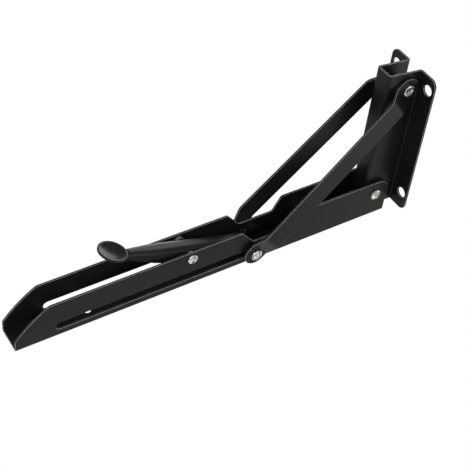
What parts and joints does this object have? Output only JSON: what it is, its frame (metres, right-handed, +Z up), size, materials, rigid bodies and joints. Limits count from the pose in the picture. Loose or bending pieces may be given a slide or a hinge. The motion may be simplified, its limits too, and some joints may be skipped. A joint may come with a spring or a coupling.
{
  "type": "folding shelf bracket",
  "caption": "Folding wall bracket: a channel arm hinged on a wall plate, held level by two sliding struts and a sprung release lever, folds down flat against the wall.",
  "frame": {"origin": "centre of the four wall screw holes, on the wall plane at the back of the flanges", "axes": "+X away from the wall along the open arm, +Y across the bracket, +Z up"},
  "size_m": [0.3097, 0.048, 0.1285],
  "materials": {
    "black_steel": "satin black powder coat",
    "rivet_steel": "pressed bright steel",
    "zinc_steel": "dull zinc plate",
    "spring_wire": "bare spring wire"
  },
  "bodies": {
    "wall_plate": {"wall_plate": "black_steel", "pivot_rivet": "rivet_steel", "pivot_spacer": "zinc_steel", "pivot_washer_left": "zinc_steel", "pivot_washer_right": "zinc_steel", "strut_rivet": "rivet_steel", "strut_spacer": "zinc_steel", "strut_washer_left": "zinc_steel", "strut_washer_right": "zinc_steel"},
    "shelf_arm": {"shelf_arm": "black_steel", "lever_rivet": "rivet_steel", "lever_bush": "zinc_steel", "lever_washer_left": "zinc_steel", "lever_washer_right": "zinc_steel"},
    "slide_pin": {"slide_pin": "rivet_steel", "slide_washer_left": "zinc_steel", "slide_washer_right": "zinc_steel"},
    "struts": {"strut_left": "black_steel", "strut_right": "black_steel", "slide_head_left": "rivet_steel", "slide_head_right": "rivet_steel"},
    "release_lever": {"release_lever": "black_steel", "lever_spring": "spring_wire"}
  },
  "joints": [
    {"name": "arm_fold", "type": "hinge", "parent": "wall_plate", "child": "shelf_arm", "pos_m": [0.0212, 0, 0.0468], "axis": [0, 1, 0], "range_deg": [0, 90]},
    {"name": "strut_swing", "type": "hinge", "parent": "wall_plate", "child": "struts", "pos_m": [0.0118, 0, -0.0458], "axis": [0, 1, 0], "range_deg": [0, 124.31]},
    {"name": "pin_slide", "type": "slide", "parent": "shelf_arm", "child": "slide_pin", "axis": [1, 0, 0], "range_m": [0, 0.14034]},
    {"name": "lever_press", "type": "hinge", "parent": "shelf_arm", "child": "release_lever", "pos_m": [0.1785, 0, 0.0416], "axis": [0, -1, 0], "range_deg": [0, 13], "stiffness_Nm_per_rad": 0.6, "springref_deg": -11.46}
  ],
  "couplings": [
    {"joint": "strut_swing", "follows": "arm_fold", "ratio": 1.3812},
    {"joint": "pin_slide", "follows": "arm_fold", "m_per_rad": 0.08934}
  ]
}
